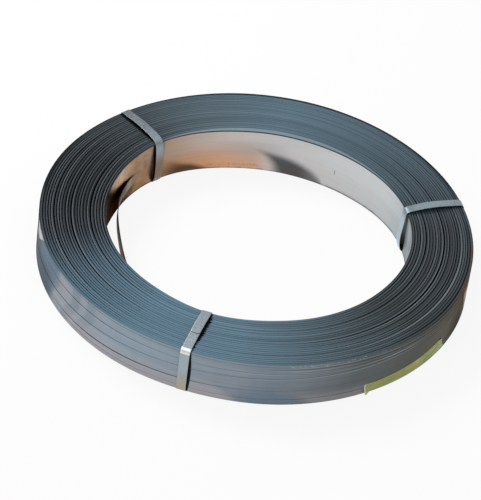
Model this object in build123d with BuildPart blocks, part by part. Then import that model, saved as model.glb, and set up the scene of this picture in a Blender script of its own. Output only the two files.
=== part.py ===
from build123d import *
from math import cos, pi, radians, sin
import os

os.makedirs("parts", exist_ok=True)

# Sizes in millimetres, angles in degrees from +X. The coil lies flat with its axis
# on +Z; the front (-Y) of its outer face carries the front tie and the tape.
bore_dia = 406.4
winding_depth = 85.8
strap_width = 16.0
strap_thick = 0.8
strap_rows = 4
row_space = 0.2

# Both ends show the turns, in groups: a flat land, then a narrow gap.
turn_groups = 22
turn_gap = 0.9
turn_gap_depth = 1.3
turn_drops = [0.0, 0.9, 0.3, 1.2, 0.5, 0.1, 0.8, 0.4, 1.0, 0.2, 0.6]

# The rows on the outer face, bottom first: how far each lies below the outermost.
row_insets = [0.5, 0.0, 0.5, 0.3]
row_gap = 0.7
row_gap_depth = 0.9

# Three slack tie straps round the section, bowed off it between its corners.
tie_width = 12.7
tie_thick = 0.6
tie_top_bow = 5.0
tie_outer_bow = 1.5
tie_bore_bow = 2.5
tie_angle_right = 19.6
tie_angle_back_left = 134.9
tie_angle_front = -103.7
lap_setback = 38.5

# The tape low on the outer face.
tape_width = 19.0
tape_thick = 0.35
tape_top = 18.4
tape_from = -56.0
tape_to = -26.5
tape_tilt = 1.5

# The loose inner end: it leaves the bore wall, bows into the bore and turns back.
tail_from = 141.5
tail_span = 102.0
tail_end = 222.0
tail_bow = 23.0
tail_sink = 0.6
tail_climb = 2.5
tail_step = 6.0

bore_r = bore_dia / 2
outer_r = bore_r + winding_depth
coil_bottom = tie_thick
coil_height = strap_rows * strap_width + (strap_rows - 1) * row_space
coil_top = coil_bottom + coil_height
coil_middle = (coil_bottom + coil_top) / 2
turn_pitch = winding_depth / turn_groups
row_pitch = strap_width + row_space


def at_angle(angle, radius):
    return (radius * cos(radians(angle)), radius * sin(radians(angle)))


def section_plane(angle):
    """Plane through the coil's axis: X outward, Y up."""
    return Plane(
        origin=(0, 0, 0),
        x_dir=(*at_angle(angle, 1), 0),
        z_dir=(sin(radians(angle)), -cos(radians(angle)), 0),
    )


def end_profile(end_z, inward, outer_inset):
    """Points of one end, from the bore out: inward is the way into the coil."""
    points = []
    for i in range(turn_groups):
        land_from = bore_r + i * turn_pitch
        land_to = land_from + turn_pitch - turn_gap
        drop = turn_drops[i % len(turn_drops)]
        land_z = end_z + inward * drop
        gap_z = land_z + inward * turn_gap_depth
        if i == turn_groups - 1:
            points += [(land_from, land_z), (outer_r - outer_inset, land_z)]
        else:
            points += [(land_from, land_z), (land_to, land_z)]
            points += [(land_to, gap_z), (land_from + turn_pitch, gap_z)]
    return points


def outer_profile():
    """Points of the outer face, from the bottom up, with a gap between rows."""
    points = []
    for i in range(strap_rows - 1):
        joint_z = coil_bottom + (i + 1) * row_pitch - row_space / 2
        below, above = outer_r - row_insets[i], outer_r - row_insets[i + 1]
        deep = min(below, above) - row_gap_depth
        low_z, high_z = joint_z - row_gap / 2, joint_z + row_gap / 2
        points += [(below, low_z), (deep, low_z), (deep, high_z), (above, high_z)]
    return points


def tail_line(stand_off):
    """Plan points of one face of the loose end, stand_off further into the bore."""
    points = []
    steps = round((tail_end - tail_from) / tail_step)
    for i in range(steps + 1):
        turned = (tail_end - tail_from) * i / steps
        bowed = tail_bow * sin(pi * turned / tail_span) ** 2
        points.append(at_angle(tail_from + turned, bore_r - bowed - stand_off))
    return points


# The loose end, level in plan, then turned about where it leaves the wall to climb
tail_face = tail_line(-tail_sink)
tail_back = tail_line(-tail_sink - strap_thick)

with BuildPart() as tail:
    with BuildSketch(Plane.XY.offset(coil_bottom + row_pitch)):
        with BuildLine():
            Spline(*tail_face)
            Line(tail_face[-1], tail_back[-1])
            Spline(*reversed(tail_back))
            Line(tail_back[0], tail_face[0])
        make_face()
    extrude(amount=strap_width)

tail_pivot = Axis(
    (*at_angle(tail_from, bore_r), coil_bottom + row_pitch),
    (*at_angle(tail_from, 1), 0),
)

# The wound coil: one turned solid, with the loose end of the same strap in its bore
with BuildPart() as strapping_coil:
    with BuildSketch(Plane.XZ):
        with BuildLine():
            Polyline(
                *end_profile(coil_bottom, 1, row_insets[0]),
                *outer_profile(),
                *reversed(end_profile(coil_top, -1, row_insets[-1])),
                close=True,
            )
        make_face()
    revolve(axis=Axis.Z)
    add(tail.part.rotate(tail_pivot, tail_climb))
strapping_coil.part.label = "strapping_coil"

# The line a tie's inner side follows: it touches the section's four corners, where
# the tie's edges meet the bore wall, and lies flat only under the coil
bore_touch = (bore_r**2 - (tie_width / 2) ** 2) ** 0.5
mid_r = (bore_touch + outer_r) / 2

with BuildSketch() as tie_loop:
    with BuildLine() as tie_inside:
        Line((bore_touch, coil_bottom), (outer_r, coil_bottom))
        ThreePointArc(
            (outer_r, coil_bottom),
            (outer_r + tie_outer_bow, coil_middle),
            (outer_r, coil_top),
        )
        ThreePointArc(
            (outer_r, coil_top), (mid_r, coil_top + tie_top_bow), (bore_touch, coil_top)
        )
        ThreePointArc(
            (bore_touch, coil_top),
            (bore_touch - tie_bore_bow, coil_middle),
            (bore_touch, coil_bottom),
        )
    make_face()
    offset(amount=tie_thick, kind=Kind.ARC)
    make_face(tie_inside.edges(), mode=Mode.SUBTRACT)

# The front tie's overlapped end: a second layer over its inner half
with BuildSketch() as tie_lap:
    make_face(tie_inside.edges())
    offset(amount=2 * tie_thick, kind=Kind.ARC)
    with Locations((outer_r - lap_setback, coil_middle)):
        Rectangle(
            winding_depth,
            coil_height,
            align=(Align.MAX, Align.MIN),
            mode=Mode.INTERSECT,
        )
    make_face(tie_inside.edges(), mode=Mode.SUBTRACT)

with BuildPart() as tie_strap_right:
    with BuildSketch(section_plane(tie_angle_right)):
        add(tie_loop.sketch)
    extrude(amount=tie_width / 2, both=True)
tie_strap_right.part.label = "tie_strap_right"

with BuildPart() as tie_strap_back_left:
    with BuildSketch(section_plane(tie_angle_back_left)):
        add(tie_loop.sketch)
    extrude(amount=tie_width / 2, both=True)
tie_strap_back_left.part.label = "tie_strap_back_left"

with BuildPart() as tie_strap_front:
    with BuildSketch(section_plane(tie_angle_front)):
        add(tie_loop.sketch)
        add(tie_lap.sketch)
    extrude(amount=tie_width / 2, both=True)
tie_strap_front.part.label = "tie_strap_front"

# Tape: a band of the outer face's own curve, cut by a slab that leans along it
tape_mid = (tape_from + tape_to) / 2
lean_cos, lean_sin = cos(radians(tape_tilt)), sin(radians(tape_tilt))
mid_cos, mid_sin = at_angle(tape_mid, 1)
tape_plane = Plane(
    origin=(*at_angle(tape_mid, outer_r), tape_top - tape_width / 2),
    x_dir=(-mid_sin * lean_cos, mid_cos * lean_cos, lean_sin),
    z_dir=(mid_sin * lean_sin, -mid_cos * lean_sin, lean_cos),
)

with BuildPart() as tape_strip:
    with BuildSketch(section_plane(tape_from)):
        with Locations((outer_r, coil_bottom)):
            Rectangle(tape_thick, coil_height, align=Align.MIN)
    revolve(axis=Axis.Z, revolution_arc=tape_to - tape_from)
    with Locations(tape_plane):
        Box(outer_r, winding_depth, tape_width, mode=Mode.INTERSECT)
tape_strip.part.label = "tape_strip"

export_step(strapping_coil.part, "parts/strapping_coil.step")
export_step(tie_strap_right.part, "parts/tie_strap_right.step")
export_step(tie_strap_back_left.part, "parts/tie_strap_back_left.step")
export_step(tie_strap_front.part, "parts/tie_strap_front.step")
export_step(tape_strip.part, "parts/tape_strip.step")
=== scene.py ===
"""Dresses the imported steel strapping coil: wound turns, loose inner end, three ties and a strip of tape."""

import logging
import math
import random
from collections.abc import Callable
from dataclasses import dataclass, field
from enum import Enum

import bmesh
import bpy
from mathutils import Matrix, Vector

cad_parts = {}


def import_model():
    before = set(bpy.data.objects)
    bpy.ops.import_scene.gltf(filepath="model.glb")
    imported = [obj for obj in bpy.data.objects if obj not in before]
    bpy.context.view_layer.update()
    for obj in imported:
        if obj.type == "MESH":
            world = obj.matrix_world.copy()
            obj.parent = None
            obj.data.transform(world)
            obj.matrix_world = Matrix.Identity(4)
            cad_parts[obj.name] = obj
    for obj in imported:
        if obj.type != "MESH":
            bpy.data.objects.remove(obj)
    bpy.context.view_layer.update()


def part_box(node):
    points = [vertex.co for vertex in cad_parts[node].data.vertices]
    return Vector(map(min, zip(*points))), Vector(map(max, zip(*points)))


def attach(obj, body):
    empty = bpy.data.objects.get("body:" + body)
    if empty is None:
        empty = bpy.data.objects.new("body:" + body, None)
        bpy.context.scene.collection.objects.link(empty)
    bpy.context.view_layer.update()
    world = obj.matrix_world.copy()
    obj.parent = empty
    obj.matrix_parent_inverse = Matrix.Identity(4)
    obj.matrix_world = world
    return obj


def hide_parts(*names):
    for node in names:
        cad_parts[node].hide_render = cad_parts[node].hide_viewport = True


MM = 0.001
RIGHT, BACK_LEFT, FRONT = 19.6, 134.9, -103.7
ROOT = "root"

log = logging.getLogger("strapping_coil")

Colour = tuple[float, float, float, float]
Stops = tuple[tuple[float, str], ...]
Lay = Callable[[float], float]
# The middle of a hump round the coil, and how far it runs to each side, in degrees
Hump = tuple[float, float]
Socket = bpy.types.NodeSocket
Tree = bpy.types.NodeTree
Material = bpy.types.Material
Piece = bpy.types.Object


class Slot(Enum):
    """The record's material slots."""

    STRAPPING = "strapping_steel"
    TIE = "tie_steel"
    TAPE = "masking_tape"


class CoilSide(Enum):
    """The coil's material slots on its mesh."""

    EDGES = 0
    OUTER = 1
    BORE = 2
    BORE_LEFT = 3


def colour(code: str) -> Colour:
    """Turns a six digit sRGB code into a linear colour.

    Args:
        code: The colour as rrggbb.

    Returns:
        The linear colour with an alpha of 1.
    """
    parts = [int(code[i : i + 2], 16) / 255 for i in (0, 2, 4)]
    red, green, blue = (p / 12.92 if p <= 0.04045 else ((p + 0.055) / 1.055) ** 2.4 for p in parts)
    return (red, green, blue, 1.0)


def smooth(low: float, high: float, value: float) -> float:
    """Rises softly from 0 at low to 1 at high."""
    share = min(1.0, max(0.0, (value - low) / (high - low)))
    return share * share * (3 - 2 * share)


def swell(azimuth: float, centre: float, reach: float) -> float:
    """A soft hump round the coil.

    Args:
        azimuth: The place, in radians.
        centre: The middle of the hump, in degrees.
        reach: How far it runs to each side, in degrees.

    Returns:
        1 at the centre, falling to 0 at the reach.
    """
    turned = (math.degrees(azimuth) - centre + 180) % 360 - 180
    return 1 - smooth(0, reach, abs(turned))


def flat(azimuth: float) -> float:
    """No depth anywhere round the coil."""
    return 0.0


def deep(azimuth: float) -> float:
    """A joint's depth, the same all round the coil."""
    return 3.0 * MM


def polar(azimuth: float, radius: float, height: float) -> Vector:
    """The point at an azimuth in radians, a radius and a height."""
    return Vector((radius * math.cos(azimuth), radius * math.sin(azimuth), height))


def make_piece(name: str, bm: bmesh.types.BMesh, *finishes: Material) -> Piece:
    """Turns a finished bmesh into a piece at the origin.

    Args:
        name: The piece's name.
        bm: The mesh, which is freed.
        finishes: Its materials, in slot order.

    Returns:
        The new object, linked to the scene.
    """
    mesh = bpy.data.meshes.new(name)
    bm.to_mesh(mesh)
    bm.free()
    for finish in finishes:
        mesh.materials.append(finish)
    piece = bpy.data.objects.new(name, mesh)
    bpy.context.scene.collection.objects.link(piece)
    return piece


def shade(piece: Piece, sharp_degrees: float) -> None:
    """Shades a piece smooth, with sharp edges past an angle."""
    piece.data.shade_smooth()
    piece.data.set_sharp_from_angle(angle=math.radians(sharp_degrees))


def give_thickness(piece: Piece, thickness: float, offset: float, edge: float) -> None:
    """Makes a sheet of strip a solid one with slightly rounded edges.

    Args:
        piece: The sheet.
        thickness: The strip's thickness.
        offset: Where the sheet lies in it, from -1 to 1.
        edge: The width of the rounding, or 0 for a sheet that only keeps its thickness on average.
    """
    solid = piece.modifiers.new("thickness", "SOLIDIFY")
    solid.thickness = thickness
    solid.offset = offset
    solid.use_even_offset = edge > 0
    if not edge:
        return
    rounding = piece.modifiers.new("rounding", "BEVEL")
    rounding.width = edge
    rounding.segments = 2
    rounding.limit_method = "ANGLE"
    rounding.angle_limit = math.radians(50)


# The winding


@dataclass(frozen=True)
class RowLine:
    """A joint between two rows on the outer face. Lengths are in millimetres, angles in degrees."""

    middle: float
    swing: float
    lag: float
    opens_at: float
    opens_over: float
    open_gap: float
    closed_gap: float = 0.07
    dip: float = 0.0
    dip_at: float = -12.0
    dip_over: float = 50.0
    glint: float = 0.0
    glint_from: float = -88.0
    glint_to: float = -44.0

    def height(self, azimuth: float) -> float:
        """The joint's height above the coil's underside, in metres."""
        level = self.middle + self.swing * math.sin(azimuth + math.radians(self.lag))
        return (level - self.dip * swell(azimuth, self.dip_at, self.dip_over)) * MM

    def half_gap(self, azimuth: float) -> float:
        """Half the joint's width, in metres."""
        return (self.closed_gap + self.open_gap * swell(azimuth, self.opens_at, self.opens_over)) * MM


ROW_LINES = (
    RowLine(6.5, 3.5, 109, -65, 25, 0.05),
    RowLine(17.5, 10.0, 109, -126, 44, 0.6),
    RowLine(35.5, 12.0, 115, -150, 46, 0.4, glint=0.34, glint_from=-84, glint_to=-36),
    RowLine(50.0, 1.5, 80, -136, 38, 0.4, glint=0.54),
    RowLine(61.6, 0.3, 0, -15, 30, 0.2, dip=7.0, glint=0.13, glint_from=-60, glint_to=-22),
)


# Node trees


class Graph:
    """A node tree in the making, with short calls for its usual nodes."""

    def __init__(self, tree: Tree) -> None:
        """Keeps the tree that the nodes go into."""
        self.tree = tree

    def node(self, kind: str, inputs: dict[object, object] | None = None,
             **settings: object) -> bpy.types.Node:
        """Adds a node.

        Args:
            kind: Its type's name after ShaderNode.
            inputs: What its inputs are fed with, by name or number.
            settings: Its properties.

        Returns:
            The node.
        """
        made = self.tree.nodes.new(f"ShaderNode{kind}")
        for name, value in settings.items():
            setattr(made, name, value)
        for key, value in (inputs or {}).items():
            self.feed(made.inputs[key], value)
        return made

    def feed(self, socket: Socket, value: object) -> None:
        """Links a socket to an output, or sets it to a number, a vector or a colour code."""
        if isinstance(value, Socket):
            self.tree.links.new(value, socket)
        else:
            socket.default_value = colour(value) if isinstance(value, str) else value

    def math(self, operation: str, *values: object, clamp: bool = False) -> Socket:
        """Adds a Math node and returns its result."""
        return self.node("Math", dict(enumerate(values)), operation=operation, use_clamp=clamp).outputs[0]

    def linear(self, value: object, slope: object, start: object) -> Socket:
        """The start plus the slope times the value."""
        return self.math("MULTIPLY_ADD", value, slope, start)

    def past(self, value: object, start: object) -> Socket:
        """How far a value lies past a start."""
        return self.math("SUBTRACT", value, start)

    def all_of(self, *masks: object) -> Socket:
        """Multiplies masks and numbers."""
        product = masks[0]
        for mask in masks[1:]:
            product = self.math("MULTIPLY", product, mask)
        return product

    def vector(self, operation: str, *values: object) -> Socket:
        """Adds a Vector Math node and returns its result."""
        made = self.node("VectorMath", dict(enumerate(values)), operation=operation)
        return made.outputs["Value" if operation == "LENGTH" else "Vector"]

    def scaled(self, vector: object, scale: Socket) -> Socket:
        """Multiplies a vector by a number."""
        return self.node("VectorMath", {0: vector, "Scale": scale}, operation="SCALE").outputs[0]

    def point(self) -> Socket:
        """The shaded point in Object coordinates."""
        return self.node("TexCoord").outputs["Object"]

    def parts(self, vector: Socket) -> list[Socket]:
        """A vector's three parts."""
        return list(self.node("SeparateXYZ", {0: vector}).outputs)

    def noise(self, point: Socket, scale: object, detail: float) -> Socket:
        """Adds a Noise Texture node and returns its value."""
        return self.node("TexNoise", {"Vector": point, "Scale": scale, "Detail": detail}).outputs[0]

    def blend(self, share: object, a: object, b: object, how: str = "MIX") -> Socket:
        """Mixes two colours, with the share saying how much of the second one."""
        return self.node("Mix", {"Factor": share, 6: a, 7: b}, data_type="RGBA", blend_type=how).outputs[2]

    def spread(self, value: object, low: object, high: object, to_low: object = 0.0,
               to_high: object = 1.0) -> Socket:
        """Maps a value softly from one range to another, and holds it inside the new one."""
        inputs = dict(enumerate((value, low, high, to_low, to_high)))
        return self.node("MapRange", inputs, interpolation_type="SMOOTHSTEP").outputs[0]

    def group(self, tree: Tree, **inputs: object) -> bpy.types.bpy_prop_collection:
        """Places a node group, feeds its inputs and returns its outputs."""
        return self.node("Group", inputs, node_tree=tree).outputs


class Effect(Graph):
    """A shader node group in the making."""

    def __init__(self, name: str, **inputs: float) -> None:
        """Makes the empty group, with a number input for each name and its usual value."""
        super().__init__(bpy.data.node_groups.new(name, "ShaderNodeTree"))
        for label, usual in inputs.items():
            made = self.tree.interface.new_socket(label, in_out="INPUT", socket_type="NodeSocketFloat")
            made.default_value = usual
        self.given = self.tree.nodes.new("NodeGroupInput").outputs

    def finish(self, **results: Socket) -> Tree:
        """Makes an output for each result and returns the group."""
        for label, value in results.items():
            kind = "NodeSocketVector" if value.type == "VECTOR" else "NodeSocketFloat"
            self.tree.interface.new_socket(label, in_out="OUTPUT", socket_type=kind)
        output = self.tree.nodes.new("NodeGroupOutput")
        for label, value in results.items():
            self.feed(output.inputs[label], value)
        return self.tree


def coil_place() -> Tree:
    """Where a point lies round the coil, in degrees and millimetres.

    Returns:
        The group. Ring is the point's direction from the axis, one unit long.
    """
    g = Effect("coil_place")
    point = g.point()
    x, y, z = g.parts(point)
    level = g.vector("MULTIPLY", point, (1.0, 1.0, 0.0))
    return g.finish(
        Azimuth=g.math("MULTIPLY", g.math("ARCTAN2", y, x), 180 / math.pi),
        Radius=g.math("DIVIDE", g.vector("LENGTH", level), MM),
        Height=g.math("DIVIDE", z, MM),
        Ring=g.vector("NORMALIZE", level),
    )


def strap_streaks(place: Tree) -> Tree:
    """Streaks along or across the winding: noise that is stretched round the coil.

    Args:
        place: The coil_place group.

    Returns:
        The group. Density is changes for each millimetre across, and Drift changes for each radian.
    """
    g = Effect("strap_streaks", Across=0, Density=1, Drift=2, Seed=0, Contrast=3)
    slow = g.scaled(g.group(place)["Ring"], g.given["Drift"])
    rise = g.node("CombineXYZ", {"Z": g.linear(g.given["Across"], g.given["Density"], g.given["Seed"])})
    centred = g.past(g.noise(g.vector("ADD", slow, rise.outputs[0]), 1.0, 2.0), 0.5)
    return g.finish(Mask=g.math("MULTIPLY_ADD", centred, g.given["Contrast"], 0.5, clamp=True))


def soft_window() -> Tree:
    """A mask that is 1 between two values, with soft borders.

    Returns:
        The group. Rise and Fall are how wide its borders are.
    """
    g = Effect("soft_window", Value=0, From=0, To=1, Rise=0.1, Fall=0.1)
    value, low, high = g.given["Value"], g.given["From"], g.given["To"]
    risen = g.spread(value, g.past(low, g.given["Rise"]), low)
    kept = g.spread(value, high, g.math("ADD", high, g.given["Fall"]), 1.0, 0.0)
    return g.finish(Mask=g.all_of(risen, kept))


def fine_specks() -> Tree:
    """Small scattered specks and a cloudy tone, both in Object coordinates.

    Returns:
        The group. Size is in millimetres, and Share is how much the specks cover.
    """
    g = Effect("fine_specks", Size=1, Share=0.3, Seed=0)
    moved = g.vector("ADD", g.point(), g.given["Seed"])
    scale = g.math("DIVIDE", 1 / MM, g.given["Size"])
    edge = g.linear(g.given["Share"], -0.5, 0.78)
    return g.finish(
        Specks=g.spread(g.noise(moved, scale, 3.0), edge, g.math("ADD", edge, 0.08)),
        Cloud=g.spread(g.noise(moved, g.math("MULTIPLY", scale, 0.12), 2.0), 0.3, 0.7),
    )


def beside_strap() -> Tree:
    """How far a point lies to the side of a tie, in millimetres, and whether it is on the tie's half.

    Returns:
        The group. Angle is the tie's azimuth in radians, and Across grows with the azimuth.
    """
    g = Effect("beside_strap", Angle=0)
    x, y, _ = g.parts(g.point())
    sine, cosine = g.math("SINE", g.given["Angle"]), g.math("COSINE", g.given["Angle"])
    across = g.past(g.all_of(y, cosine), g.all_of(x, sine))
    along = g.linear(x, cosine, g.all_of(y, sine))
    return g.finish(Across=g.math("DIVIDE", across, MM), Near=g.math("GREATER_THAN", along, 0.0))


def row_offset(place: Tree) -> Tree:
    """How far a point lies above a joint line of the outer face, in millimetres.

    Args:
        place: The coil_place group.

    Returns:
        The group. Lag is in radians.
    """
    g = Effect("row_offset", Middle=0, Swing=0, Lag=0, Foot=0.6)
    where = g.group(place)
    turned = g.linear(where["Azimuth"], math.pi / 180, g.given["Lag"])
    level = g.linear(g.math("SINE", turned), g.given["Swing"], g.given["Middle"])
    return g.finish(Offset=g.past(g.past(where["Height"], g.given["Foot"]), level))


@dataclass
class Effects:
    """The shared effects, each built once."""

    place: Tree = field(default_factory=coil_place)
    window: Tree = field(default_factory=soft_window)
    beside: Tree = field(default_factory=beside_strap)
    specks: Tree = field(default_factory=fine_specks)
    streaks: Tree = field(init=False)
    row: Tree = field(init=False)

    def __post_init__(self) -> None:
        """Builds the effects that use another."""
        self.streaks = strap_streaks(self.place)
        self.row = row_offset(self.place)


class FinishGraph(Graph):
    """A material's node tree: a Principled shader, and a base colour that is painted layer by layer.

    Places round the coil are in degrees, and heights, radii and distances in millimetres.
    """

    def __init__(self, name: str, effects: Effects, **sockets: object) -> None:
        """Makes the material.

        Args:
            name: The material's name.
            effects: The shared effects.
            sockets: Constants for the shader's sockets, whose names have _ for each space.
        """
        self.material = bpy.data.materials.new(name)
        self.material.use_nodes = True
        super().__init__(self.material.node_tree)
        self.tree.nodes.clear()
        self.effects = effects
        self.shader = self.node("BsdfPrincipled")
        self.node("OutputMaterial", {0: self.shader.outputs[0]})
        for label, value in sockets.items():
            self.shader.inputs[label.replace("_", " ")].default_value = value
        where = self.group(effects.place)
        self.azimuth, self.radius, self.height = where["Azimuth"], where["Radius"], where["Height"]
        self.base: object = "ffffff"

    def finish(self, **sockets: object) -> Material:
        """Feeds the shader its base colour and some sockets, and returns the material."""
        for label, value in {"Base Color": self.base, **sockets}.items():
            self.feed(self.shader.inputs[label], value)
        return self.material

    def paint(self, tint: object, *masks: object) -> None:
        """Lays a tint on the base where all the masks reach."""
        self.base = self.blend(self.all_of(*masks), self.base, tint)

    def tone(self, mask: object, reach: float) -> None:
        """Lightens and darkens the base by up to the reach, where a mask of 0.5 leaves it as it is."""
        base = colour(self.base)[:3] if isinstance(self.base, str) else self.base
        self.base = self.scaled(base, self.linear(self.past(mask, 0.5), 2 * reach, 1.0))

    def tone_inside(self, window: Socket, mask: Socket, reach: float) -> None:
        """Tones the base by a mask inside a window."""
        self.tone(self.spread(window, 0.0, 1.0, 0.5, mask), reach)

    def round_coil(self, stops: Stops, azimuth: Socket) -> Socket:
        """Reads a colour ramp whose places are degrees of azimuth."""
        made = self.node("ValToRGB", {0: self.linear(azimuth, 1 / 360, 0.5)})
        elements = made.color_ramp.elements
        while len(elements) < len(stops):
            elements.new(0.5)
        for element, (degrees, _) in zip(elements, stops):
            element.position = (degrees + 180) / 360
        for element, (_, code) in zip(elements, stops):
            element.color = colour(code)
        return made.outputs[0]

    def streaks(self, across: Socket, density: float, drift: float, seed: float,
                contrast: float = 3.0) -> Socket:
        """Places strap_streaks and returns its mask."""
        return self.group(self.effects.streaks, Across=across, Density=density, Drift=drift, Seed=seed,
                          Contrast=contrast)["Mask"]

    def window(self, value: object, low: object, high: object, rise: float, fall: float) -> Socket:
        """Places soft_window and returns its mask."""
        return self.group(self.effects.window, Value=value, From=low, To=high, Rise=rise, Fall=fall)["Mask"]

    def specks(self, size: float, share: float, seed: float) -> bpy.types.bpy_prop_collection:
        """Places fine_specks and returns its outputs."""
        return self.group(self.effects.specks, Size=size, Share=share, Seed=seed)

    def stored(self, name: str) -> Socket:
        """A number that the mesh stores at its points."""
        return self.node("Attribute", attribute_name=name).outputs["Fac"]

    def beside(self, angle: float, low: object, high: object, soft: float) -> Socket:
        """A mask along the tie at an azimuth, between two distances to its side."""
        strap = self.group(self.effects.beside, Angle=math.radians(angle))
        return self.all_of(self.window(strap["Across"], low, high, soft, soft), strap["Near"])

    def leaning(self, lean: float, level: float = 0.0) -> Socket:
        """The azimuth, leaning by some degrees for each millimetre above a level."""
        return self.linear(self.past(self.height, level), lean, self.azimuth)

    def bump(self, height: Socket, distance: float, strength: float) -> Socket:
        """The normal that a height gives, with the distance in metres."""
        return self.node("Bump", {"Strength": strength, "Distance": distance, "Height": height}).outputs[0]


# Finishes


@dataclass(frozen=True)
class EdgeFinish:
    """The strap's blued edges, as the coil's ends show them turn by turn."""

    name: str = "blued_strap_edges"
    # Partly painted reflection: the edges are tinted blue at the front and back and charcoal at the sides, as
    # the turns' edges reflect their surroundings differently round the coil.
    tints: Stops = (
        (-180, "181b1d"), (-162, "2b3339"), (-146, "4c6373"), (-120, "628092"), (-92, "688596"),
        (-62, "57666e"), (-38, "3c4142"), (8, "3c4347"), (36, "51616b"), (86, "627a87"),
        (112, "586871"), (134, "40484d"), (158, "1f2326"), (180, "181b1d"),
    )
    lit: str = "a8b5bb"
    # Painted shade in the gaps between the turns.
    gap: str = "050607"
    shade: str = "0c0e10"
    rust: str = "6e553e"
    rosy: Colour = (1.16, 0.93, 0.95, 1.0)

    def build(self, effects: Effects) -> Material:
        """Builds the material."""
        g = FinishGraph(self.name, effects, IOR=1.42, Specular_Tint=(0.35, 0.4, 0.45, 1.0))
        azimuth, radius = g.azimuth, g.radius
        g.base = g.round_coil(self.tints, azimuth)
        turns = g.streaks(radius, 0.7, 0.7, 11.0)
        g.tone(g.streaks(radius, 0.16, 0.9, 3.0), 0.1)
        g.tone(turns, 0.14)
        g.tone_inside(g.window(azimuth, -112, -50, 16, 16), g.streaks(radius, 0.5, 0.5, 37.0, 7.0), 0.1)
        right = g.window(azimuth, -14, 14, 14, 4)
        sides = g.math("ADD", right, g.spread(g.math("ABSOLUTE", azimuth), 138, 170))
        rosy = g.all_of(g.streaks(radius, 0.25, 0.8, 63.0, 6.0), sides, 0.8)
        g.base = g.blend(rosy, g.base, self.rosy, "MULTIPLY")
        # Painted highlight on the edges of some turns, where they would catch the light.
        g.paint(self.lit, g.stored("glint_and_foot_top"))
        # Painted highlight along the bore's rim at the back.
        g.paint(self.lit, g.window(radius, 200, 207.5, 1, 1.5), g.window(azimuth, 40, 128, 14, 8), 0.5)
        # Painted shade: the gaps between the turns, and the edges beside them, go dark by the stored depth.
        gap = g.spread(g.stored("sunk"), 0.3, 1.5)
        g.paint(self.gap, gap)
        torn = g.linear(g.streaks(radius, 0.55, 0.1, 51.0, 5.0), 3.0, 6.2)
        torn = g.linear(g.window(radius, 218, 250, 12, 26), 2.8, torn)
        g.paint(self.shade, g.beside(FRONT, 0.0, torn, 0.6))
        torn = g.linear(g.streaks(radius, 0.4, 0.1, 71.0, 4.0), 0.8, 6.6)
        g.paint(self.shade, g.beside(BACK_LEFT, 0.0, torn, 0.8))
        g.tone(g.linear(g.all_of(g.spread(radius, 262, 280), right), 0.5, 0.5), 0.2)
        lines = g.spread(g.streaks(radius, 1.3, 1.2, 17.0, 5.0), 0.35, 0.75)
        g.paint(self.rust, g.spread(radius, 284.6, 286.4), lines, g.window(azimuth, -18, 0, 7, 7), 0.9)
        g.paint(self.shade, g.spread(radius, 284.4, 286.2), g.window(azimuth, 30, 176, 10, 4), 0.85)
        return g.finish(
            Metallic=g.spread(gap, 0.0, 1.0, 0.5, 1.0),
            Roughness=g.spread(turns, 0.0, 1.0, 0.46, 0.58),
            Normal=g.bump(turns, 0.1 * MM, 0.4),
        )


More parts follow.
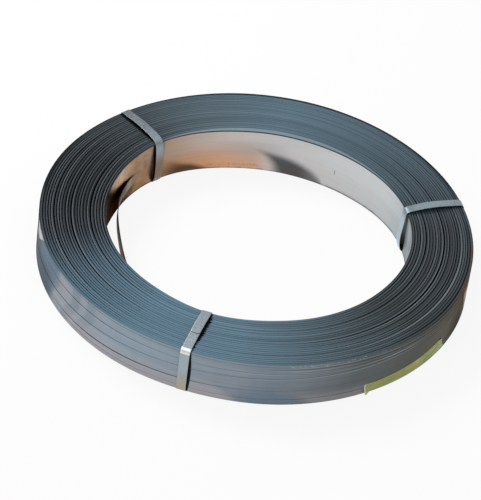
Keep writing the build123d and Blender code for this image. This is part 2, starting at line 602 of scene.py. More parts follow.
@dataclass(frozen=True)
class OuterFaceFinish:
    """The outer turn's lacquered face, with painted reflections and painted light changing its tone round the
    coil.
    """

    name: str = "lacquered_outer_face"
    # Partly painted light: paler at the front left and darker towards the right, as the face is lit from the
    # left.
    tints: Stops = (
        (-180, "2b2d30"), (-168, "4c5156"), (-161, "75889a"), (-148.4, "7a8fa2"), (-146.4, "aeb2ba"),
        (-120, "9cadba"), (-86, "919aa4"), (-58, "686e70"), (-38, "656561"), (-23, "7c786b"),
        (-13, "4e4238"), (12, "505253"), (80, "606d76"), (180, "2b2d30"),
    )
    stripes: tuple[tuple[float, float, float, float], ...] = (
        (-139.6, -137.6, 1.4, 0.35), (-133.6, -131.4, 1.4, 0.3), (-84, -79, 5, 0.3),
    )
    blue: str = "6f8495"
    pink: str = "c3b9bc"
    bronze: str = "a0714d"
    beige: str = "c4a58a"
    low_left: str = "3c464d"
    chip: str = "c9cfd1"
    glare: str = "e8e4e8"
    edge_glint: str = "a5b0b4"
    # Painted shade in the grooves of the row joints.
    joint: str = "364450"
    shade: str = "0d100c"

    def slanted(self, g: FinishGraph) -> Socket:
        """The azimuth, leaning in the lower half of the face and slightly ragged."""
        below = g.math("MINIMUM", g.past(g.height, 42.0), 0.0)
        ragged = g.past(g.streaks(g.height, 0.05, 12.0, 5.0), 0.5)
        return g.linear(ragged, 0.8, g.linear(below, -0.13, g.azimuth))

    def painted_reflections(self, g: FinishGraph) -> None:
        """Lays painted reflections on it: soft blue, pink and bronze areas, and a pale beige and a white
        painted highlight.
        """
        azimuth, height = g.azimuth, g.height
        slant = self.slanted(g)
        for low, high, soft, share in self.stripes:
            g.paint(self.blue, g.window(slant, low, high, soft, soft), share)
        g.paint(self.pink, g.window(azimuth, -140, -92, 6, 8), g.spread(height, 3, 36, 0.62, 0.0))
        leaning = g.leaning(0.28)
        g.paint(self.blue, g.window(leaning, -87, -75, 5, 5), g.spread(height, 6, 36, 0.65, 0.0))
        g.paint(self.pink, g.window(leaning, -68, -54, 5, 8), g.spread(height, 4, 24, 0.35, 0.0))
        leaning = g.leaning(0.12)
        ragged = g.spread(g.streaks(height, 0.04, 30.0, 19.0, 4.0), 0.25, 0.8)
        g.paint(self.bronze, g.window(leaning, -12.8, -11.2, 2.2, 1.4), ragged,
                g.spread(height, 44, 62, 1.0, 0.2), 0.6)
        g.paint(self.beige, g.window(leaning, -7.8, -4.0, 1.6, 6.0), g.spread(height, 36, 54, 0.85, 0.15))
        g.paint(self.low_left, g.spread(azimuth, -156, -148, 1.0, 0.0), g.spread(height, 26, 52, 0.62, 0.0))
        g.paint(self.glare, g.spread(g.leaning(-0.3, 64.0), -160.5, -159.5, 1.0, 0.0),
                g.window(azimuth, -168.5, -150, 1, 1), g.spread(height, 42, 48), 0.9)

    def above(self, g: FinishGraph, line: RowLine) -> Socket:
        """How far a point lies above a joint line, in millimetres."""
        row = g.group(g.effects.row, Middle=line.middle, Swing=line.swing, Lag=math.radians(line.lag))
        bend = g.window(g.azimuth, line.dip_at, line.dip_at, line.dip_over, line.dip_over)
        return g.linear(bend, line.dip, row["Offset"])

    def glint_lines(self, g: FinishGraph) -> None:
        """Paints highlights on the edges just below some row joints, and a fan of painted light and dark
        lines under the last.
        """
        for line in ROW_LINES:
            if line.glint:
                g.paint(self.edge_glint, g.window(self.above(g, line), -1.5, -0.6, 1.3, 0.7),
                        g.window(g.azimuth, line.glint_from, line.glint_to, 8, 14), line.glint)
        offset = self.above(g, ROW_LINES[-1])
        near = g.all_of(g.window(g.azimuth, -70, -8, 18, 3), g.spread(offset, -17, -9))
        g.tone_inside(near, g.streaks(offset, 0.42, 0.4, 91.0, 5.0), 0.34)

    def build(self, effects: Effects) -> Material:
        """Builds the material."""
        g = FinishGraph(self.name, effects, IOR=1.5, Specular_Tint=(0.3, 0.3, 0.3, 1.0))
        azimuth, height = g.azimuth, g.height
        g.base = g.round_coil(self.tints, self.slanted(g))
        self.painted_reflections(g)
        upright = g.streaks(height, 0.02, 16.0, 9.0)
        g.tone(upright, 0.05)
        g.tone(g.streaks(height, 0.5, 1.6, 15.0), 0.07)
        g.paint(self.chip, g.specks(2.2, 0.36, 4.0)["Specks"], g.window(azimuth, -77, -52, 2, 2),
                g.window(height, 61.5, 65, 1, 0.5), 0.8)
        top = g.all_of(g.window(azimuth, -54, -14, 12, 4), g.spread(height, 44, 55, 0.1, 1.0))
        g.tone(g.linear(top, -0.5, 0.5), 0.22)
        self.glint_lines(g)
        # Painted shade in the grooves of the row joints.
        g.paint(self.joint, g.spread(g.stored("sunk"), 0.4, 1.8))
        wide = g.spread(g.math("ABSOLUTE", g.past(height, 28.0)), 4, 40, 9.6, 7.4)
        g.paint(self.shade, g.beside(FRONT, 0.0, wide, 0.8))
        # Less metal where the beige painted highlight lies, so that it shows pale.
        sheen_band = g.all_of(g.window(g.leaning(0.12), -7.0, -4.0, 2.5, 8.0), g.spread(height, 36, 54, 0.5, 0.0))
        return g.finish(
            Metallic=g.past(g.spread(azimuth, -60, -20, 0.55, 0.88), sheen_band),
            Roughness=g.spread(upright, 0.0, 1.0, 0.42, 0.5),
            Normal=g.bump(g.specks(0.8, 0.3, 1.0)["Cloud"], 0.03 * MM, 0.4),
        )


@dataclass(frozen=True)
class BoreFaceFinish:
    """The innermost turn's face: bronze at the left, bright steel at the right."""

    name: str
    edge_tint: Colour
    # The dark stops past 168 degrees and near 180 stand partly for painted shade behind the loose end, and
    # the pale stop at 160 for painted light on the upper left wall.
    upper_tints: Stops = (
        (-180, "8f725c"), (-140, "7d6553"), (-100, "918b88"), (-30, "b4bdc2"), (20, "d0dbdf"),
        (32, "d5d9db"), (86, "c9c7c7"), (104, "cabfb8"), (130, "ad9686"), (146, "b09680"),
        (160, "ffcca2"), (172, "c09a7d"), (180, "8f725c"),
    )
    lower_tints: Stops = (
        (-180, "5a3a28"), (-140, "6b523f"), (-100, "8b8481"), (-30, "b4bdc2"), (20, "bdc8cc"),
        (36, "c8cbcc"), (86, "c9c5c3"), (95, "cba78e"), (108, "d2a07c"), (126, "b48a6a"),
        (146, "bc9a7a"), (168, "5a3a28"),
    )
    # Painted reflection: the dark wedge on the far wall.
    reflected_dark: str = "55575a"
    reflected_dark_low: str = "585352"
    reflected_dark_thin: str = "8f9092"
    brown: str = "4f392b"
    # Painted shadow of the loose end, with a warmer brown in it.
    shadow_brown: str = "5c4536"
    shadow_warm: str = "634732"
    dark: str = "1c1511"
    rim: str = "3c4b55"
    foot: str = "505355"
    rust: str = "c07a4a"

    def dark_reflection_wedge(self, g: FinishGraph, ragged: Socket) -> None:
        """Paints a dark reflection on the far wall, a wedge low at its right end and high at its left."""
        azimuth, height = g.azimuth, g.height
        run = g.math("MAXIMUM", g.past(azimuth, 66.5), 0.0)
        below = g.spread(g.past(height, g.linear(g.math("SQRT", run), 7.3, 1.5)), -9.5, 7.0, 1.0, 0.0)
        left = g.linear(ragged, 2.0, g.linear(g.all_of(height, height), 0.0078, 85.8))
        wedge = g.all_of(below, g.spread(g.past(azimuth, left), -4.0, 3.5, 1.0, 0.0),
                         g.spread(height, 20, 42, 1.0, 0.25))
        reflection_haze = g.all_of(g.window(azimuth, 88, 102, 10, 16), g.window(height, 30, 42, 16, 10), 0.17)
        dark = g.blend(g.spread(height, 8, 20), self.reflected_dark_low, self.reflected_dark)
        dark = g.blend(g.spread(g.math("ADD", azimuth, ragged), 67, 78, 0.62, 0.0), dark, self.reflected_dark_thin)
        g.paint(dark, g.math("MAXIMUM", wedge, reflection_haze))

    def brown_patch(self, g: FinishGraph, ragged: Socket) -> None:
        """Lays a brown patch under a rising line, right of the back left tie."""
        line = g.linear(ragged, 3.0, g.linear(g.past(g.azimuth, 129.3), 1.41, 30.5))
        g.paint(self.brown, g.spread(g.past(g.height, line), -11.0, 0.5, 1.0, 0.0),
                g.spread(g.azimuth, 124, 137, 1.0, 0.35), g.spread(g.height, 6, 28, 0.92, 0.4))

    def loose_end_shadow(self, g: FinishGraph, azimuth: Socket) -> Socket:
        """Paints the loose end's shadow on the wall behind it, at an azimuth from 0 to 360, and returns its
        mask.
        """
        height = g.height
        late = g.math("MAXIMUM", g.past(azimuth, 160.0), 0.0)
        line = g.linear(g.all_of(late, late), 0.13, g.linear(g.past(azimuth, 148.0), 0.75, 33.0))
        over = g.math("DIVIDE", g.past(height, line), g.linear(late, 0.3, 1.0))
        under = g.spread(over, -4.0, 2.0, 1.0, 0.0)
        early = g.all_of(under, g.spread(azimuth, 146.5, 151.0), g.spread(height, 6, 22, 0.4, 1.0))
        full = g.all_of(under, g.spread(azimuth, 157, 160))
        low = g.all_of(g.window(azimuth, 153, 160, 4, 2), g.spread(height, 7, 13, 0.85, 0.0))
        most = g.math("MAXIMUM", g.math("MAXIMUM", early, full), low)
        behind = g.all_of(most, g.spread(azimuth, 184, 218, 1.0, 0.0))
        shadow_warm = g.all_of(g.spread(azimuth, 158, 167), g.spread(height, 4, 44, 1.0, 0.35))
        g.paint(g.blend(shadow_warm, self.shadow_brown, self.shadow_warm), behind, 0.95)
        return behind

    def tie_shadows(self, g: FinishGraph) -> None:
        """Paints the shadows in the narrow gaps beside the right and the back left tie."""
        g.paint(self.dark, g.beside(RIGHT, -12.5, 9.0, 1.8), g.spread(g.height, 12, 60, 1.0, 0.55))
        g.paint(self.brown, g.beside(BACK_LEFT, -7.0, -4.0, 5.0), 0.5)
        g.paint(self.dark, g.beside(BACK_LEFT, -3.0, g.linear(g.height, 0.11, 4.0), 1.0), 0.88)

    def build(self, effects: Effects) -> Material:
        """Builds the material."""
        g = FinishGraph(self.name, effects, IOR=1.5, Specular_Tint=self.edge_tint)
        azimuth, height = g.azimuth, g.height
        lower, upper = (g.round_coil(tints, azimuth) for tints in (self.lower_tints, self.upper_tints))
        g.base = g.blend(g.spread(height, 12, 50), lower, upper)
        g.paint(self.rust, g.window(azimuth, 94, 112, 4, 4), g.window(height, 6, 9, 2, 2),
                g.spread(g.streaks(height, 0.4, 90.0, 61.0, 4.0), 0.45, 0.8), 0.6)
        g.tone_inside(g.window(azimuth, 139, 160, 2, 2), g.specks(1.6, 0.4, 21.0)["Cloud"], 0.16)
        ragged = g.past(g.streaks(height, 0.03, 5.0, 2.0), 0.5)
        whole_turn = g.math("FLOORED_MODULO", azimuth, 360.0)
        self.dark_reflection_wedge(g, ragged)
        self.brown_patch(g, ragged)
        behind = self.loose_end_shadow(g, whole_turn)
        upright, level = g.streaks(height, 0.02, 14.0, 31.0), g.streaks(height, 0.3, 1.6, 41.0)
        g.tone(upright, 0.035)
        g.tone(level, 0.03)
        g.paint(self.foot, g.window(azimuth, 61.4, 61.6, 0.2, 0.2), g.window(height, 28, 32, 3, 3), 0.6)
        self.tie_shadows(g)
        g.paint(self.rim, g.spread(height, 62.6, 63.4))
        # The ragged top of the dark line along the wall's foot, higher near the right tie.
        glint_and_foot_top = g.spread(g.streaks(height, 0.1, 18.0, 83.0, 4.0), 0.1, 0.9, 0.0, 1.2)
        glint_and_foot_top = g.linear(g.window(azimuth, 12, 40, 10, 16), 2.4, glint_and_foot_top)
        g.paint(self.foot, g.spread(g.past(height, glint_and_foot_top), 0.8, 2.4, 0.6, 0.0))
        plain = g.spread(g.window(whole_turn, 160, 172, 14, 20), 0.0, 1.0, 0.9, 0.12)
        return g.finish(
            Metallic=g.math("MAXIMUM", behind, plain),
            Roughness=g.spread(upright, 0.0, 1.0, 0.3, 0.4),
            Normal=g.bump(level, 0.03 * MM, 0.2),
        )


@dataclass(frozen=True)
class LooseEndFinish:
    """The loose end's faces: bright where it leaves the wall, brown along its bow."""

    name: str = "loose_end_face"
    # The pale stop near 153 degrees is a painted highlight where the end leaves the wall.
    tints: Stops = (
        (-180, "463428"), (-165, "5a4030"), (-150, "8a6446"), (-138, "7d5b42"), (0, "7d5b42"),
        (146, "a5876f"), (149, "9c8571"), (153, "ae9f90"), (157, "75604f"), (162, "44332a"), (180, "463428"),
    )

    def build(self, effects: Effects) -> Material:
        """Builds the material."""
        g = FinishGraph(self.name, effects, Metallic=0.85, IOR=1.5, Specular_Tint=(0.5, 0.5, 0.5, 1.0))
        g.base = g.round_coil(self.tints, g.azimuth)
        level = g.streaks(g.height, 0.6, 2.0, 23.0)
        g.tone(g.streaks(g.height, 0.02, 30.0, 13.0), 0.08)
        g.tone(level, 0.1)
        return g.finish(Roughness=g.spread(level, 0.0, 1.0, 0.3, 0.45), Normal=g.bump(level, 0.04 * MM, 0.3))


@dataclass(frozen=True)
class GalvanisedFinish:
    """A tie's zinc: pale grey with a mottle, dark pits and bright grains."""

    name: str
    tint: str
    bore_tint: str
    face_tint: str
    bend_glare: float = 0.0
    outward_painted_light: float = 0.0
    bore_tint_full: float = 30.0
    bore_tint_from: float = 64.0
    mottle: str = "7d868c"
    pits: str = "4a5156"
    grain: str = "e6eaec"

    def build(self, effects: Effects) -> Material:
        """Builds the material."""
        g = FinishGraph(self.name, effects, Metallic=0.7, IOR=1.5)
        height, radius = g.height, g.radius
        g.base = self.tint
        # Painted light: the tie's top goes lighter or darker outwards, as it faces the light.
        g.tone(g.spread(radius, 206, 244), self.outward_painted_light)
        g.paint(self.bore_tint, g.spread(radius, 206, 214, 1.0, 0.0),
                g.spread(height, self.bore_tint_full, self.bore_tint_from, 1.0, 0.0))
        g.paint(self.face_tint, g.spread(radius, 284, 288), g.spread(height, 2, 40, 1.0, 0.0))
        fine, grains, coarse = g.specks(1.6, 0.42, 2.0), g.specks(2.2, 0.34, 12.0), g.specks(5.0, 0.4, 6.0)
        g.paint(self.mottle, coarse["Cloud"], 0.3)
        aloft = g.spread(height, 58, 65, 0.1, 0.55)
        g.paint(self.pits, fine["Specks"], aloft)
        g.paint(self.grain, grains["Specks"], aloft)
        g.paint("ffffff", g.window(height, 62.0, 66.5, 2.0, 0.6), g.spread(radius, 282, 285), self.bend_glare)
        return g.finish(
            Roughness=g.spread(coarse["Cloud"], 0.0, 1.0, 0.4, 0.55),
            Normal=g.bump(fine["Cloud"], 0.05 * MM, 0.5),
        )


@dataclass(frozen=True)
class MaskingTapeFinish:
    """Creped paper tape, thin enough to let the steel's tone through."""

    name: str = "creped_masking_tape"
    tint: str = "a4b162"
    warm: str = "c8bf6b"
    cool: str = "98a47e"
    pale: str = "e6ead0"

    def build(self, effects: Effects) -> Material:
        """Builds the material."""
        g = FinishGraph(self.name, effects, Roughness=0.62, IOR=1.45)
        azimuth, height = g.azimuth, g.height
        g.base = self.tint
        g.paint(self.warm, g.specks(3.5, 0.4, 3.0)["Cloud"], 0.85)
        g.paint(self.cool, g.specks(2.4, 0.4, 9.0)["Cloud"], g.spread(azimuth, -46, -34, 0.2, 0.8))
        g.paint(self.pale, g.window(azimuth, -60.0, -55.7, 0.1, 0.3))
        g.paint(self.pale, g.window(azimuth, -28.6, -20.0, 0.8, 0.1), 0.22)
        g.paint(self.pale, g.spread(g.streaks(height, 0.35, 9.0, 27.0, 4.0), 0.45, 0.95, 0.0, 0.25))
        crepe = g.streaks(height, 0.25, 120.0, 7.0)
        g.tone(crepe, 0.06)
        return g.finish(Normal=g.bump(crepe, 0.1 * MM, 0.5))


# The wound coil


@dataclass(frozen=True)
class ProfilePoint:
    """A point of the coil's section, with its depth below its neighbours, which also carries the painted
    shade beside a gap, and the painted highlight on its edge.
    """

    radius: Lay
    height: Lay
    sunk: Lay = flat
    glint_and_foot_top: Lay = flat


@dataclass(frozen=True)
class Turn:
    """One turn's edge on the upper end. Lengths are in metres and the lag in radians.

    A turn that lies deep makes a gap between its neighbours. It keeps a share of its drop at the
    coil's right, and its shine is how strong a highlight is painted on its edge.
    """

    drop: float
    wave: float
    lag: float
    gap: bool = False
    kept: float = 1.0
    shine: float = 0.0


@dataclass(frozen=True)
class Pinch:
    """Where a tie draws the winding together. Lengths are in millimetres, angles in degrees."""

    at: float
    over: float
    bore_out: float
    face_in: float


@dataclass
class WoundCoil:
    """The wound strap, one ring of turns. Lengths are in metres, and the box comes from the frame."""

    low: float
    high: float
    outer_radius: float
    bore_radius: float = 203.2 * MM
    segments: int = 192
    turns: int = 100
    turns_below: int = 44
    chamfer: float = 0.12 * MM
    sunk_depth: float = 2.9 * MM
    gap_shade_reach: float = 0.75 * MM
    uneven_below: float = 0.7 * MM
    gap_below: float = 1.6 * MM
    foot_over: float = 8.0 * MM
    groove: float = 1.6 * MM
    row_step: float = 0.12 * MM
    edge_jitter: float = 0.12 * MM
    edge_tilt: float = 0.02 * MM
    shines: tuple[float, ...] = (0.2, 0.34, 0.14, 0.42, 0.24, 0.3, 0.12)
    kept: tuple[float, ...] = (1.0, 0.45, 0.9, 0.25, 0.7)
    # A few given turns carry the strongest painted highlight on their edges.
    glinting_turns: tuple[int, ...] = (54, 79)
    glinting_shine: float = 0.44
    rim_over: float = 11.0 * MM
    rim_sag: float = 2.6 * MM
    back_lift: float = 1.2 * MM
    bore_slack: float = -1.6 * MM
    bore_lift: float = 2.2 * MM
    bore_split: float = math.radians(112)
    bore_reach: float = 0.4 * MM
    face_reach: float = 2.0 * MM
    level_normal: float = 0.5
    least_open: float = 0.06
    front_openness: float = 0.08
    open_front: Hump = (-90, 70)
    open_left: Hump = (-174, 66)
    open_right: Hump = (-6, 74)
    sag_at: Hump = (-14, 50)
    lift_at: Hump = (78, 45)
    glinting_at: Hump = (-24, 46)
    bore_lift_at: Hump = (26, 30)
    pinches: tuple[Pinch, ...] = (
        Pinch(22, 58, 6.4, 0.3),
        Pinch(133, 36, 5.2, 1.6),
        Pinch(-102, 26, 3.4, 1.4),
    )
    seed: int = 7
    draw: random.Random = field(init=False)

    def __post_init__(self) -> None:
        """Seeds the small differences between the turns."""
        self.draw = random.Random(self.seed)

    @property
    def depth(self) -> float:
        """The winding's depth, from the bore to the outer face."""
        return self.outer_radius - self.bore_radius

    def openness(self, azimuth: float, kept: float = 1.0) -> float:
        """How uneven the turns' edges are: most at the coil's left, and at its right as far as kept."""
        closed = self.least_open + self.front_openness * swell(azimuth, *self.open_front)
        return min(1.0, closed + swell(azimuth, *self.open_left) + kept * swell(azimuth, *self.open_right))

    def bore_shift(self, azimuth: float) -> float:
        """How far the innermost turn lies out from the true bore."""
        return self.bore_slack + sum(p.bore_out * MM * swell(azimuth, p.at, p.over) for p in self.pinches)

    def face_shift(self, azimuth: float) -> float:
        """How far the ties draw the outer turn in."""
        return -sum(p.face_in * MM * swell(azimuth, p.at, p.over) for p in self.pinches)

    def eased(self, radius: float) -> Lay:
        """Lets a turn follow the winding's slightly pinched shape."""
        share = (radius - self.bore_radius) / self.depth
        return lambda azimuth: (
            radius + (1 - share) * self.bore_shift(azimuth) + share * self.face_shift(azimuth)
        )

    def upper_point(self, radius: float, turn: Turn, tilt: float, beside: Turn) -> ProfilePoint:
        """A point of a turn's edge on the upper end.

        Args:
            radius: The point's radius.
            turn: The turn.
            tilt: How much further down this side of it lies.
            beside: The next turn on this side.

        Returns:
            The point.
        """
        outward = smooth(self.outer_radius - self.rim_over, self.outer_radius, radius)
        # The painted shade that a gap lays on its neighbour's edge goes only into the stored depth, not into
        # the height.
        gap_shade_reach = self.gap_shade_reach if beside.gap and not turn.gap else 0.0

        def below(azimuth: float) -> float:
            wave = turn.wave * (1 + math.sin(2 * azimuth + turn.lag))
            return (turn.drop + tilt + wave) * self.openness(azimuth, turn.kept)

        def sunk(azimuth: float) -> float:
            return below(azimuth) + gap_shade_reach * self.openness(azimuth, beside.kept)

        def height(azimuth: float) -> float:
            sag = self.rim_sag * outward * swell(azimuth, *self.sag_at)
            lift = self.back_lift * outward * swell(azimuth, *self.lift_at)
            return self.high - below(azimuth) - sag + lift

        # How strong a highlight is painted on this edge.
        def glint_and_foot_top(azimuth: float) -> float:
            if turn.shine == self.glinting_shine:
                return turn.shine * (0.2 + 0.8 * swell(azimuth, *self.glinting_at))
            glinting = turn.shine * (0.75 + 0.25 * math.sin(3 * azimuth + turn.lag))
            return glinting * (0.35 + 0.65 * self.openness(azimuth))

        return ProfilePoint(self.eased(radius), height, sunk, glint_and_foot_top)

    def upper_turns(self) -> list[Turn]:
        """The turns on top from the bore outwards, in groups with a gap after each."""
        made: list[Turn] = []
        group = 0
        while len(made) < self.turns:
            proud = self.draw.choice((3, 3, 4))
            level = self.draw.choice((0.0, 0.1, 0.2, 0.4)) * MM
            gaps = 2 if group % 6 == 4 else 1
            for step in range(proud + gaps):
                left = self.turns - len(made)
                gap = step >= proud and left > 3
                drop = level + self.draw.uniform(0, self.edge_jitter)
                if gap:
                    drop = self.sunk_depth * self.draw.uniform(0.6, 1.0)
                shine = 0.0
                # Painted highlights go on the last two turns before each gap, and on a few given turns.
                if step in (proud - 2, proud - 1) and left > 2:
                    shine = self.shines[group % len(self.shines)] * (1.0 if step == proud - 1 else 0.7)
                if not gap and any(0 <= len(made) - glinting < 2 for glinting in self.glinting_turns):
                    shine = self.glinting_shine
                made.append(Turn(drop, self.draw.uniform(0.0, 0.5 * self.edge_jitter),
                                 self.draw.uniform(0, math.tau), gap,
                                 self.kept[group % len(self.kept)] if gap else 1.0, shine))
            group += 1
        return made[: self.turns]

    def upper_end(self) -> list[ProfilePoint]:
        """Both edges of each turn on top, from the bore outwards."""
        points: list[ProfilePoint] = []
        pitch = self.depth / self.turns
        turns = self.upper_turns()
        for index, turn in enumerate(turns):
            inner = self.bore_radius + index * pitch
            tilt = self.draw.uniform(-self.edge_tilt, self.edge_tilt)
            points.append(self.upper_point(inner, turn, tilt, turns[max(index - 1, 0)]))
            points.append(self.upper_point(inner + pitch, turn, -tilt, turns[min(index + 1, len(turns) - 1)]))
        return points

    def lower_end(self) -> list[ProfilePoint]:
        """The turns' edges underneath, from the bore outwards, in wider lands."""
        points: list[ProfilePoint] = []
        pitch = self.depth / self.turns_below
        for turn in range(self.turns_below):
            inner = self.bore_radius + turn * pitch
            rise = self.draw.uniform(0.0, self.uneven_below) if turn % 3 else self.gap_below
            if turn in (0, self.turns_below - 1):
                rise = 0.0
            inward = 1 - smooth(0, self.foot_over, turn * pitch)

            def height(azimuth: float, rise: float = rise, inward: float = inward) -> float:
                return self.low + rise + self.bore_lift * inward * swell(azimuth, *self.bore_lift_at)

            for radius in (inner, inner + pitch):
                points.append(ProfilePoint(self.eased(radius), height))
        return points

    def outer_wall(self) -> list[ProfilePoint]:
        """The outer face from the bottom up, with a gap at each joint between rows."""
        points: list[ProfilePoint] = []
        for row, line in enumerate(ROW_LINES):
            below, above = self.row_step * (row % 2), self.row_step * ((row + 1) % 2)
            for sign, inset in ((-1, below), (1, above)):
                side = [(inset, self.chamfer), (inset + self.chamfer, 0.0), (self.groove, 0.0)]
                for inward, spare in side if sign < 0 else side[::-1]:
                    radius = self.eased(self.outer_radius - inward)

                    def height(azimuth: float, line: RowLine = line, reach: float = spare,
                               sign: int = sign) -> float:
                        return self.low + line.height(azimuth) + sign * (line.half_gap(azimuth) + reach)

                    points.append(ProfilePoint(radius, height, deep if inward == self.groove else flat))
        return points

    def profile(self) -> list[ProfilePoint]:
        """The whole section, once round."""
        return [*self.lower_end(), *self.outer_wall(), *reversed(self.upper_end())]

    def side_of(self, face: bmesh.types.BMFace) -> CoilSide:
        """Which finish a face takes, from where it looks and lies."""
        if abs(face.normal.z) > self.level_normal:
            return CoilSide.EDGES
        middle = face.calc_center_median()
        radius, azimuth = middle.xy.length, math.atan2(middle.y, middle.x)
        if radius < self.bore_radius + self.bore_shift(azimuth) + self.bore_reach:
            return CoilSide.BORE_LEFT if abs(azimuth) > self.bore_split else CoilSide.BORE
        if radius > self.outer_radius + self.face_shift(azimuth) - self.face_reach:
            return CoilSide.OUTER
        return CoilSide.EDGES

    def build(self, *finishes: Material) -> Piece:
        """Spins the section and lets its points drift round the coil.

        Args:
            finishes: The coil's finishes, in the order of CoilSide.

        Returns:
            The coil.
        """
        profile = self.profile()
        bm = bmesh.new()
        tag = bm.verts.layers.int.new("profile_point")
        sunk = bm.verts.layers.float.new("sunk")
        glint_and_foot_top = bm.verts.layers.float.new("glint_and_foot_top")
        ring = []
        for index, point in enumerate(profile):
            corner = bm.verts.new((point.radius(0.0), 0.0, point.height(0.0)))
            corner[tag] = index
            ring.append(corner)
        sides = [bm.edges.new((a, b)) for a, b in zip(ring, ring[1:] + ring[:1])]
        bmesh.ops.spin(bm, geom=ring + sides, cent=(0, 0, 0), axis=(0, 0, 1), angle=math.tau,
                       steps=self.segments, use_merge=True)
        for corner in bm.verts:
            point = profile[corner[tag]]
            azimuth = math.atan2(corner.co.y, corner.co.x)
            corner.co = polar(azimuth, point.radius(azimuth), point.height(azimuth))
            corner[sunk] = point.sunk(azimuth) / MM
            corner[glint_and_foot_top] = point.glint_and_foot_top(azimuth)
        bm.verts.layers.int.remove(bm.verts.layers.int["profile_point"])
        bmesh.ops.recalc_face_normals(bm, faces=bm.faces)
        bm.normal_update()
        for face in bm.faces:
            face.material_index = self.side_of(face).value
        piece = make_piece("wound_coil", bm, *finishes)
        shade(piece, 30)
        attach(piece, ROOT)
        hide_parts("strapping_coil")
        return piece


@dataclass
class LooseEnd:
    """The strap's loose inner end, which bows off the bore wall and turns back to it."""

    low: float
    bore_radius: float
    wall_shift: Lay
    width: float = 16.0 * MM
    thickness: float = 0.8 * MM
    leaves_at: float = 141.5
    bow_over: float = 102.0
    ends_at: float = 222.0
    bow: float = 23.0 * MM
    sunk: float = 0.6 * MM
    climb: float = 2.5
    row_height: float = 16.2 * MM
    leaning_until: float = 6.0
    free_from: float = 20.0
    steps: int = 120
    rows: int = 4

    def place(self, along: float, across: float) -> Vector:
        """A point of the strip.

        Args:
            along: From 0 where it leaves the wall to 1 at its end.
            across: From 0 at its lower edge to 1 at its upper edge.

        Returns:
            The point on the face that looks at the bore.
        """
        turned = (self.ends_at - self.leaves_at) * along
        azimuth = math.radians(self.leaves_at + turned)
        stand_off = self.bow * math.sin(math.pi * turned / self.bow_over) ** 2 - self.sunk
        stand_off -= self.wall_shift(azimuth) * (1 - smooth(self.leaning_until, self.free_from, turned))
        level = polar(azimuth, self.bore_radius - stand_off, self.width * across)
        pivot = polar(math.radians(self.leaves_at), self.bore_radius, 0.0)
        lean = Matrix.Rotation(math.radians(self.climb), 3, pivot.normalized())
        return pivot + lean @ (level - pivot) + Vector((0, 0, self.low + self.row_height))

    def build(self, finish: Material) -> Piece:
        """Lays a grid along the strip's path and gives it its thickness."""
        bm = bmesh.new()
        bmesh.ops.create_grid(bm, x_segments=self.steps, y_segments=self.rows, size=0.5)
        for corner in bm.verts:
            corner.co = self.place(corner.co.x + 0.5, corner.co.y + 0.5)
        bmesh.ops.recalc_face_normals(bm, faces=bm.faces)
        piece = make_piece("loose_inner_end", bm, finish)
        give_thickness(piece, self.thickness, 1.0, 0.15 * MM)
        shade(piece, 40)
        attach(piece, ROOT)
        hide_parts("strapping_coil")
        return piece


# Ties and tape


@dataclass
class TieStrap:
    """A slack tie strap round the coil's section.

    Its knots are in millimetres in the section: how far out from the bore wall, and how far up from
    the coil's underside. They guide the strap's inner side, once round, or from the end that lies on
    top to the end beneath it. It may lie aside of its azimuth, in millimetres, at the bore and at the
    outer face.
    """

    name: str
    node: str
    angle: float
    bore_radius: float
    low: float
    knots: tuple[tuple[float, float], ...]
    bore_aside: float = 0.0
    face_aside: float = 0.0
    closed: bool = True
    width: float = 12.7 * MM
    thickness: float = 0.6 * MM
    depth: float = 85.8
    smoothing: int = 3

    def build(self, finish: Material) -> Piece:
        """Extrudes the line of knots across the strap's width, smooths it and gives it its thickness."""
        bm = bmesh.new()
        line = []
        for out, up in self.knots:
            aside = (self.bore_aside + (self.face_aside - self.bore_aside) * out / self.depth) * MM
            place = (self.bore_radius + out * MM, aside - self.width / 2, self.low + up * MM)
            line.append(bm.verts.new(place))
        pairs = list(zip(line, line[1:]))
        if self.closed:
            pairs.append((line[-1], line[0]))
        edge = [bm.edges.new(pair) for pair in pairs]
        grown = bmesh.ops.extrude_edge_only(bm, edges=edge)
        moved = [part for part in grown["geom"] if isinstance(part, bmesh.types.BMVert)]
        bmesh.ops.translate(bm, verts=moved, vec=(0, self.width, 0))
        bmesh.ops.recalc_face_normals(bm, faces=bm.faces)
        turn = Matrix.Rotation(math.radians(self.angle), 3, "Z")
        bmesh.ops.rotate(bm, verts=bm.verts, cent=(0, 0, 0), matrix=turn)
        piece = make_piece(self.name, bm, finish)
        smoothing = piece.modifiers.new("smoothing", "SUBSURF")
        smoothing.levels = self.smoothing
        smoothing.render_levels = self.smoothing
        give_thickness(piece, self.thickness, 1.0, 0.12 * MM)
        shade(piece, 40)
        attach(piece, ROOT)
        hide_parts(self.node)
        return piece


